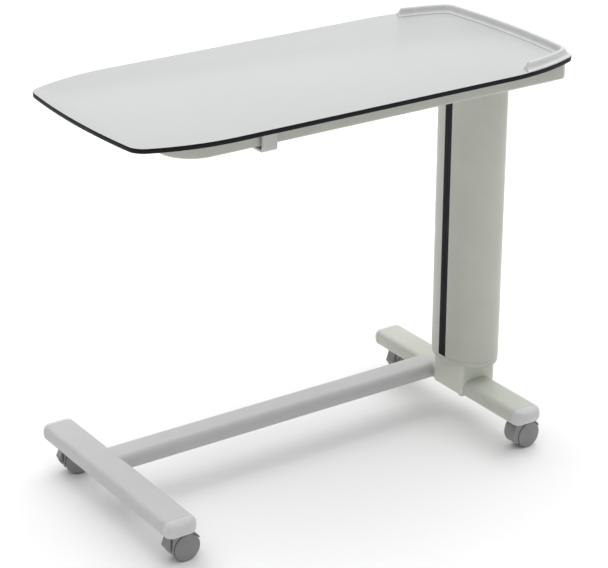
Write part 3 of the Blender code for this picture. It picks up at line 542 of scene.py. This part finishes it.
def make_frame_tube():
    """The square tube under the top, bent into a U that is open towards the column end."""
    centre = CROSS_X + FRAME_BEND
    path = [(FRAME_HIGH.x, -LEG_Y), (FRAME_HIGH.x - SAWN_EDGE, -LEG_Y)]
    path += arc((centre, -LEG_Y + FRAME_BEND), FRAME_BEND, 1.5 * math.pi, math.pi, FRAME_BEND_STEPS)
    path += arc((centre, LEG_Y - FRAME_BEND), FRAME_BEND, math.pi, 0.5 * math.pi, FRAME_BEND_STEPS)
    path += [(FRAME_HIGH.x - SAWN_EDGE, LEG_Y), (FRAME_HIGH.x, LEG_Y)]
    section = rounded_rectangle(FRAME_TUBE, FRAME_TUBE, FRAME_CORNER, FRAME_CORNER_STEPS)
    bm = bmesh.new()
    rings = []
    for i, (x, y) in enumerate(path):
        before = Vector(path[max(0, i - 1)])
        after = Vector(path[min(len(path) - 1, i + 1)])
        tangent = (after - before).normalized()
        side = Vector((tangent.y, -tangent.x, 0.0))
        shrink = SAWN_SHRINK if i in (0, len(path) - 1) else 1.0
        middle = Vector((x, y, FRAME_MIDDLE))
        points = [middle + side * u * shrink + Vector((0, 0, v * shrink)) for u, v in section]
        rings.append([bm.verts.new(point) for point in points])
    for first, second in zip(rings, rings[1:]):
        bridge(bm, first, second)
    bm.faces.new(rings[0])
    bm.faces.new(rings[-1])
    # The tube takes the darker copy of the cream coat: painted shade.
    piece("frame_tube", closed(bm), "frame_paint_shaded", "top", ("support_frame",))


def make_frame_plugs():
    """The domed plastic plugs in the tube's two ends."""
    for name, y in (("near", -LEG_Y), ("far", LEG_Y)):
        node = "frame_cap_" + name
        low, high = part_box(node)
        sections = []
        for along, inset in PLUG_STEPS:
            size = FRAME_TUBE - 2 * inset
            outline = rounded_rectangle(size, size, FRAME_CORNER, FRAME_CORNER_STEPS)
            height = low.x + along * (high.x - low.x)
            sections.append((height, [(u + y, v + FRAME_MIDDLE) for u, v in outline]))
        piece("frame_plug_" + name, loft(sections, "X"), "cap_plastic", "top", (node,))


def make_frame_screws():
    """Socket screws up through the tube into the board."""
    z = FRAME_LOW.z
    profile = [(0, z - 0.0014), (hexagon(SCREW_SOCKET), z - 0.0014), (hexagon(SCREW_SOCKET), z - 0.0030)]
    profile += [(radius, z - below) for radius, below in SCREW_HEAD] + [(0, z)]
    places = [(x, y) for x in SCREW_X for y in (-LEG_Y, LEG_Y)] + [(CROSS_X, 0.0)]
    for index, (x, y) in enumerate(places):
        bm = moved(turned(profile, 24), (x, y, 0.0))
        piece("frame_screw_%d" % (index + 1), bm, "steel", "top")


# ---------------------------------------------------------------- lifting column
SLEEVE_LOW, SLEEVE_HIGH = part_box("outer_sleeve")
PIN_RADIUS = 0.0018  # the valve pin stands on the column's axis
SLEEVE_RX = SLEEVE_HIGH.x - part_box("valve_pin")[0].x - PIN_RADIUS
SLEEVE_RY = (SLEEVE_HIGH.y - SLEEVE_LOW.y) / 2
SLEEVE_CENTRE = (SLEEVE_HIGH.x - SLEEVE_RX, (SLEEVE_LOW.y + SLEEVE_HIGH.y) / 2, 0.0)
SLEEVE_WALL = 0.0025
SLEEVE_LIP = 0.0006
SLEEVE_STEPS = 150
SLOT_HALF = 0.010
GROOVE_HALF = 0.0006  # of the V groove down the strip's middle
GROOVE_DEPTH = 0.0009
RING_INSET = 0.0006
RING_FOOT = ((0.0, 0.0018), (0.0003, 0.0009), (0.0009, 0.0003), (0.0018, 0.0))  # (height, inset)
RING_MOUTH = 1.035  # how much wider the ring's bore is at its very foot
RING_MOUTH_HEIGHT = 0.002
BORE_CLEARANCE = 0.0004
BORE_CORNER = 0.0084


def sleeve_curve(shrink):
    """The sleeve's oval, open from one side of its slot to the other."""
    lead = math.asin(SLOT_HALF / (SLEEVE_RY - shrink))
    turns = [lead + (2 * math.pi - 2 * lead) * i / SLEEVE_STEPS for i in range(SLEEVE_STEPS + 1)]
    return [(-(SLEEVE_RX - shrink) * math.cos(t), (SLEEVE_RY - shrink) * math.sin(t)) for t in turns]


def sleeve_section(lip):
    return sleeve_curve(lip) + list(reversed(sleeve_curve(SLEEVE_WALL - lip)))


def make_lift_sleeve():
    """The oval lifting column, open along its slot, with a rounded lower edge."""
    low = SLEEVE_LOW.z
    sections = [(low, sleeve_section(SLEEVE_LIP)), (low + SLEEVE_LIP, sleeve_section(0.0))]
    sections.append((SLEEVE_HIGH.z, sleeve_section(0.0)))
    bm = moved(loft(sections), SLEEVE_CENTRE)
    piece("lift_sleeve", bm, "cream_paint", "top", ("outer_sleeve",), bevel=0.0004)


def make_slot_seal():
    """The black strip in the slot, with a fine V groove down its middle."""
    low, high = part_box("slot_strip")
    depth = high.x - low.x
    half = (high.y - low.y) / 2
    outline = [(0.0, -half), (0.0, -GROOVE_HALF), (GROOVE_DEPTH, 0.0), (0.0, GROOVE_HALF), (0.0, half)]
    outline += [(depth, half), (depth, -half)]
    bm = moved(loft([(low.z, outline), (high.z, outline)]), (low.x, (low.y + high.y) / 2, 0.0))
    piece("slot_seal", bm, "black_plastic", "top", ("slot_strip",), bevel=0.0002)


def make_sleeve_ring():
    """The ring at the sleeve's foot, oval outside and square inside round the fixed column."""
    low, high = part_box("sleeve_collar")
    column_low, column_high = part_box("inner_column")
    width = column_high.x - column_low.x + 2 * BORE_CLEARANCE
    depth = column_high.y - column_low.y + 2 * BORE_CLEARANCE
    bore = densified(rounded_rectangle(width, depth, BORE_CORNER, 10), 0.003)
    turns = [math.atan2(v / depth, u / width) for u, v in bore]
    mouth = [(u * RING_MOUTH, v * RING_MOUTH) for u, v in bore]

    def oval(inset):
        rx = SLEEVE_RX - RING_INSET - inset
        ry = SLEEVE_RY - RING_INSET - inset
        return [(rx * math.cos(t), ry * math.sin(t)) for t in turns]

    sections = [(low.z + height, oval(inset)) for height, inset in RING_FOOT]
    sections += [(high.z, oval(0.0)), (high.z, bore), (low.z + RING_MOUTH_HEIGHT, bore), (low.z, mouth)]
    bm = moved(loft(sections, ring=True), SLEEVE_CENTRE)
    piece("sleeve_ring", bm, "cream_paint", "top", ("sleeve_collar",))


# ---------------------------------------------------------------- base
FOOT_WALL = 0.0025
FOOT_CORNER = 0.011
FOOT_CORNER_STEPS = 8
FOOT_LIP = 0.0004
# A foot's end plug: (distance out of the tube, side inset, top and bottom inset).
FOOT_CAP_STEPS = ((0.0003, 0.0006, 0.0006), (0.0008, 0.0, 0.0), (0.0045, 0.0, 0.0001),
                  (0.0075, 0.0004, 0.0006), (0.0095, 0.0010, 0.0013), (0.0117, 0.0018, 0.0023),
                  (0.0135, 0.0028, 0.0036), (0.0150, 0.0043, 0.0054), (0.0160, 0.0062, 0.0074),
                  (0.0166, 0.0086, 0.0094), (0.0169, 0.0120, 0.0114), (0.0170, 0.0190, 0.0132))
FOOT_CAP_BOW = (0.72, 0.50)  # share of that distance kept at the plug's sides, and what its middle adds
WELD_SIZE = 0.0030
WELD_STEP = 0.0009
WELD_RIPPLE = 0.07
WELD_MARGIN = 0.012  # from the foot's side to the bead's end


def make_foot(side):
    """A cross foot of flat-oval tube with its two domed end plugs."""
    node = side + "_foot_tube"
    low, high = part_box(node)
    width = high.x - low.x
    height = high.z - low.z
    end = high.y
    at = ((low.x + high.x) / 2, 0.0, (low.z + high.z) / 2)

    def outline(inset):
        corner = FOOT_CORNER - inset
        return rounded_rectangle(width - 2 * inset, height - 2 * inset, corner, FOOT_CORNER_STEPS)

    sections = [(-end, outline(FOOT_LIP)), (-end + FOOT_LIP, outline(0.0)), (end - FOOT_LIP, outline(0.0)),
                (end, outline(FOOT_LIP)), (end, outline(FOOT_WALL)), (-end, outline(FOOT_WALL))]
    bm = moved(loft(sections, "Y", ring=True), at)
    # The right foot takes the paler copy of the cream coat: painted light.
    piece(side + "_foot_beam", bm, "foot_paint_lit" if side == "right" else "grey_paint", "base", (node,))
    for name, direction in (("near", -1), ("far", 1)):
        sections = []
        for out, side_in, top_in in FOOT_CAP_STEPS:
            tall = height - 2 * top_in
            corner = min(FOOT_CORNER, tall / 2 - 0.0003)
            plate = rounded_rectangle(width - 2 * side_in, tall, corner, FOOT_CORNER_STEPS)
            sections.append((direction * out, plate))
        bm = loft(sections, "Y")
        for vert in bm.verts:
            bow = FOOT_CAP_BOW[0] + FOOT_CAP_BOW[1] * (1 - (2 * vert.co.x / width) ** 2)
            vert.co.y = direction * (end + GAP + max(0.0, abs(vert.co.y) - GAP) * bow)
        moved(bm, at)
        piece(side + "_foot_plug_" + name, bm, "cap_plastic", "base", (side + "_foot_cap_" + name,))


def make_column_welds():
    """Painted weld beads where the fixed column's two narrow sides stand on the foot."""
    low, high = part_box("inner_column")
    foot_low, foot_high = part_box("right_foot_tube")
    for index, (y, out) in enumerate(((low.y - GAP, -1), (high.y + GAP, 1))):
        start = Vector((foot_low.x + WELD_MARGIN, y, foot_high.z))
        end = Vector((foot_high.x - WELD_MARGIN, y, foot_high.z))
        weld_bead("column_weld_%d" % (index + 1), start, end, Vector((0.0, out, 0.0)))


def weld_bead(name, start, end, out):
    """A weld bead along a straight seam: a hollow quarter-round fillet with a ripple."""
    length = (end - start).length
    steps = max(8, int(length / WELD_STEP))
    up = Vector((0.0, 0.0, 1.0))
    bm = bmesh.new()
    rings = []
    for i in range(steps + 1):
        t = i / steps
        fade = min(1.0, min(t, 1 - t) * length / WELD_SIZE)
        ripple = 1.0 + WELD_RIPPLE * math.sin(i * 2.1)
        swell = WELD_SIZE * (0.55 + 0.45 * math.sqrt(max(0.0, fade))) * ripple
        centre = start + (end - start) * t
        ring = [centre - out * 0.0006 - up * 0.0004]
        for k in range(7):
            angle = math.pi / 2 * k / 6
            pull = 1.0 - 0.22 * math.sin(2 * angle)
            ring.append(centre + out * swell * math.cos(angle) * pull + up * swell * math.sin(angle) * pull)
        rings.append([bm.verts.new(point) for point in ring])
    for first, second in zip(rings, rings[1:]):
        bridge(bm, first, second)
    bm.faces.new(rings[0])
    bm.faces.new(rings[-1])
    piece(name, closed(bm), "weld", "base")


BOLT_SOCKET = 0.0024  # half across flats
BOLT_SHANK = 0.0040
# A bolt cap from the socket's edge outwards: (radius, height above its lowest point).
BOLT_HEAD = ((0.0034, 0.0), (0.0050, 0.0009), (0.0064, 0.0024), (0.0073, 0.0044))


def make_bolts():
    """The column's two bolts, with their rounded heads under the foot."""
    for index in (1, 2):
        node = "column_bolt_%d" % index
        low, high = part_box(node)
        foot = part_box("right_foot_tube")[0].z - GAP
        z = low.z
        socket = hexagon(BOLT_SOCKET)
        profile = [(0, z + 0.0030), (socket, z + 0.0030), (socket, z + 0.0002)]
        profile += [(radius, z + above) for radius, above in BOLT_HEAD]
        profile += [(0.0075, foot - 0.0004), (0.0072, foot)]
        profile += [(BOLT_SHANK, foot), (BOLT_SHANK, high.z), (0, high.z)]
        bm = moved(turned(profile, 36), ((low.x + high.x) / 2, (low.y + high.y) / 2, 0.0))
        piece("foot_bolt_%d" % index, bm, "cap_plastic", "base", (node,))


# ---------------------------------------------------------------- castors
CASTOR_TURN = {
    "near_left": 0.0,
    "far_left": math.radians(-14),
    "near_right": math.radians(3),
    "far_right": 0.0,
}
NO_BRAKE = "near_right"
TRAIL = 0.0195  # from the stem to the axle
WHEEL_R = 0.025
WHEEL_W = 0.0105
WHEELS_HALF = 0.0155  # from the castor's middle to a wheel's outer face
TREAD_DEPTH = 0.0022
AXLE_BORE = 0.0033
STEM_BORE = 0.0054
STEM_BORE_Z = (0.049, 0.066)
FORK_RADIUS = 0.0280
FORK_HALF = 0.0135
FORK_WEB = 0.0042  # half the thickness left between the wheels
BOSS = 0.009
BOSS_TOP = 0.0574
# Fronts and the pedal in side view: (distance forward of the stem, height), in millimetres.
FORK_FRONT = ((-9.5, 52.5), (-13.6, 45.5), (-15.8, 38.0), (-16.4, 32.0), (-15.2, 25.5), (-12.2, 19.0),
              (-8.6, 14.0))
PEDAL_SIDE = ((-8.4, 55.4), (-9.6, 55.5), (-10.4, 54.8), (-10.7, 53.0), (-10.9, 50.0), (-11.1, 47.0),
              (-12.3, 43.2), (-13.8, 39.0), (-15.3, 35.4), (-16.6, 32.4), (-16.8, 31.4), (-16.3, 30.6),
              (-14.0, 27.0), (-11.6, 23.3), (-11.0, 22.9), (-9.6, 23.0), (-9.4, 36.0), (-8.4, 50.0))
PEDAL_HALF = 0.010


def castor_matrix(corner):
    """From a castor's own axes, with its stem at the origin and its trail along +X, to the world's."""
    low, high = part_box("stem_" + corner)
    stem = Matrix.Translation(((low.x + high.x) / 2, (low.y + high.y) / 2, 0.0))
    return stem @ Matrix.Rotation(CASTOR_TURN[corner], 4, "Z")


def fork_outline(braked):
    """The hood in side view: a guard over the wheels, the boss round the stem and the front."""
    axle = (TRAIL, WHEEL_R)
    meets = math.acos((BOSS - TRAIL) / FORK_RADIUS)
    outline = arc(axle, FORK_RADIUS, math.radians(28), meets, 20)
    outline += [(BOSS, BOSS_TOP), (-BOSS + 0.002, BOSS_TOP)]
    if braked:
        outline += arc(axle, FORK_RADIUS, math.radians(168), math.radians(196), 10)
    else:
        outline += [(x / 1000, z / 1000) for x, z in spline(FORK_FRONT, 4)]
    return outline + [(TRAIL - 0.008, WHEEL_R - 0.0145), (TRAIL + 0.006, WHEEL_R - 0.0135)]


def make_fork(corner, to_world):
    """The hood with its two wheel pockets, its axle bore and its stem bore."""
    outline = fork_outline(corner != NO_BRAKE)
    sections = [(-FORK_HALF, outline), (FORK_HALF, outline)]
    bm = loft(sections, "Y")
    fork = piece("fork_" + corner, bm, "castor_plastic", "castor_" + corner, ("hood_" + corner,))
    for low, high in ((-0.02, -FORK_WEB), (FORK_WEB, 0.02)):
        cut_by(fork, moved(plug(WHEEL_R + 0.0008, low, high, 72, "Y"), (TRAIL, 0.0, WHEEL_R)))
    cut_by(fork, moved(plug(AXLE_BORE, -0.006, 0.006, 24, "Y"), (TRAIL, 0.0, WHEEL_R)))
    cut_by(fork, plug(STEM_BORE, *STEM_BORE_Z, 24))
    fork.data.transform(to_world)
    soften(fork, 0.0004)


def wheel_profile():
    """Side face, rounded shoulder, tread and the inner bore, from the outside in."""
    half = WHEEL_W / 2
    r = WHEEL_R
    points = [(0, -half + 0.0001), (0.0042, -half + 0.0001), (0.0045, -half + 0.0004)]
    points += [(0.0049, -half + 0.0004), (0.0052, -half), (r - 0.0046, -half), (r - 0.0034, -half + 0.0002)]
    points += [(r - 0.0030 + 0.0030 * math.sin(t), -half + 0.0034 - 0.0030 * math.cos(t) * 1.05)
               for t in (0.3, 0.6, 0.9, 1.2, 1.5)]
    points += [(r, half - 0.0014), (r - 0.0004, half - 0.0005), (r - 0.0014, half), (AXLE_BORE, half)]
    points += [(AXLE_BORE, -half + 0.0032), (0, -half + 0.0032)]
    return points


def make_wheels(corner, to_world):
    """A castor's two wheels, each with a darker tread."""
    axis = to_world.to_3x3() @ Vector((0.0, 1.0, 0.0))
    for side, direction in (("outer", -1), ("inner", 1)):
        bm = turned(wheel_profile(), 72, "Y")
        if direction > 0:
            bm.transform(Matrix.Rotation(math.pi, 4, "Z"))
        moved(bm, (TRAIL, direction * (WHEELS_HALF - WHEEL_W / 2), WHEEL_R))
        bm.transform(to_world)
        node = "wheel_%s_%s" % (corner, side)
        wheel = piece("roller_%s_%s" % (corner, side), bm, "castor_plastic", node, (node,))
        wheel.data.materials.append(LOOKS["tread"])
        for polygon in wheel.data.polygons:
            local = to_world.inverted() @ polygon.center
            reach = math.hypot(local.x - TRAIL, local.z - WHEEL_R)
            if abs(polygon.normal.dot(axis)) < 0.5 and reach > WHEEL_R - TREAD_DEPTH:
                polygon.material_index = 1


def make_pedal(corner, to_world):
    """The brake tab on a castor's front, thin at the toe, with a finger ridge."""
    outline = [(x / 1000, z / 1000) for x, z in PEDAL_SIDE]
    bm = loft([(-PEDAL_HALF, outline), (PEDAL_HALF, outline)], "Y")
    bm.transform(to_world)
    node = "brake_pedal_" + corner
    piece("brake_tab_" + corner, bm, "castor_plastic", "pedal_" + corner, (node,), bevel=0.0004)


def make_castor(corner):
    to_world = castor_matrix(corner)
    make_fork(corner, to_world)
    make_wheels(corner, to_world)
    if corner != NO_BRAKE:
        make_pedal(corner, to_world)


# ---------------------------------------------------------------- kept CAD nodes
# The fixed column takes the paler copy of the cream coat: painted light.
SPECIAL_LOOK = {"inner_column": "column_paint_lit", "lever_paddle": "lever_plastic"}
SOFTENED = ("inner_column", "lever_paddle", "head_crossbar_left", "head_crossbar_right", "head_plate",
            "shaft_bearing_left", "shaft_bearing_right", "release_finger")


def dress_cad_nodes():
    """The CAD solids that stay get their finish and soft edges; the fixed column's is a paler copy of the
    cream coat, painted light.
    """
    slots = {row["node"]: row["material_slot"] for row in frame["record"]["subparts"]}
    for node, obj in frame["nodes"].items():
        obj.data.materials.clear()
        obj.data.materials.append(LOOKS[SPECIAL_LOOK.get(node, slots[node])])
        obj.data.shade_smooth()
        obj.data.set_sharp_from_angle(angle=SMOOTH_ANGLE)
        if node in SOFTENED:
            soften(obj, 0.0005)


# ---------------------------------------------------------------- camera and light
CAMERA_AT = (-1.9266, -2.8455, 1.8196)
AZIMUTH = math.radians(-33.965)
ELEVATION = math.radians(23.330)
ROLL = math.radians(0.072)
LENS = 126.4
FLOOR_HALF = 20.0
WORLD_POWER = 2.6
WORLD_ZENITH = 1.70
WORLD_HORIZON = 0.19
SUN_STRENGTH = 1.4
SUN_FROM = (0.55, 0.75, 0.95)
SUN_ANGLE = math.radians(100)


def add_camera():
    """The camera looks down from the front on the left, through a long lens."""
    flat = math.cos(ELEVATION)
    back = Vector((math.sin(AZIMUTH) * flat, -math.cos(AZIMUTH) * flat, math.sin(ELEVATION)))
    level = Vector((math.cos(AZIMUTH), math.sin(AZIMUTH), 0.0))
    upright = back.cross(level)
    right = level * math.cos(ROLL) + upright * math.sin(ROLL)
    data = bpy.data.cameras.new("camera")
    camera = bpy.data.objects.new("camera", data)
    bpy.context.scene.collection.objects.link(camera)
    camera.location = CAMERA_AT
    camera.rotation_euler = Matrix((right, back.cross(right), back)).transposed().to_euler()
    data.sensor_fit = "HORIZONTAL"
    data.sensor_width = 36.0
    data.lens = LENS
    data.clip_end = 100.0
    data.dof.use_dof = False
    bpy.context.scene.camera = camera


def add_floor():
    """A plain pale floor."""
    bm = bmesh.new()
    for x, y in ((-1, -1), (1, -1), (1, 1), (-1, 1)):
        bm.verts.new((x * FLOOR_HALF, y * FLOOR_HALF, 0.0))
    bm.faces.new(bm.verts)
    mesh = bpy.data.meshes.new("floor")
    bm.to_mesh(mesh)
    bm.free()
    floor = bpy.data.objects.new("floor", mesh)
    bpy.context.scene.collection.objects.link(floor)
    made, tree, shader = new_material("floor_white", (0.93, 0.93, 0.93), 0.9, 0.0, 0.0)
    mesh.materials.append(made)


def add_world():
    """A pale room: bright overhead and dim at the horizon."""
    world = bpy.data.worlds.new("studio")
    bpy.context.scene.world = world
    world.use_nodes = True
    tree = world.node_tree
    background = tree.nodes["Background"]
    where = tree.nodes.new("ShaderNodeTexCoord")
    split = tree.nodes.new("ShaderNodeSeparateXYZ")
    tree.links.new(where.outputs["Generated"], split.inputs["Vector"])
    power = tree.nodes.new("ShaderNodeMath")
    power.operation = "POWER"
    power.use_clamp = True
    power.inputs[1].default_value = WORLD_POWER
    tree.links.new(split.outputs["Z"], power.inputs[0])
    scale = tree.nodes.new("ShaderNodeMath")
    scale.operation = "MULTIPLY_ADD"
    scale.inputs[1].default_value = WORLD_ZENITH
    scale.inputs[2].default_value = WORLD_HORIZON
    tree.links.new(power.outputs["Value"], scale.inputs[0])
    tree.links.new(scale.outputs["Value"], background.inputs["Strength"])
    background.inputs["Color"].default_value = (1.0, 1.0, 1.0, 1.0)


def add_sun():
    """One very soft light from behind and above."""
    data = bpy.data.lights.new("back_light", "SUN")
    data.energy = SUN_STRENGTH
    data.angle = SUN_ANGLE
    sun = bpy.data.objects.new("back_light", data)
    bpy.context.scene.collection.objects.link(sun)
    sun.rotation_euler = Vector(SUN_FROM).to_track_quat("Z", "Y").to_euler()


def set_view():
    view = bpy.context.scene.view_settings
    view.view_transform = "Standard"
    view.look = "None"
    view.exposure = 0.0
    view.gamma = 1.0


dress_cad_nodes()
make_board()
make_rim()
make_frame_tube()
make_frame_plugs()
make_frame_screws()
make_lift_sleeve()
make_slot_seal()
make_sleeve_ring()
make_foot("left")
make_foot("right")
make_column_welds()
make_bolts()
for corner_name in CASTOR_TURN:
    make_castor(corner_name)
add_camera()
add_floor()
add_world()
add_sun()
set_view()
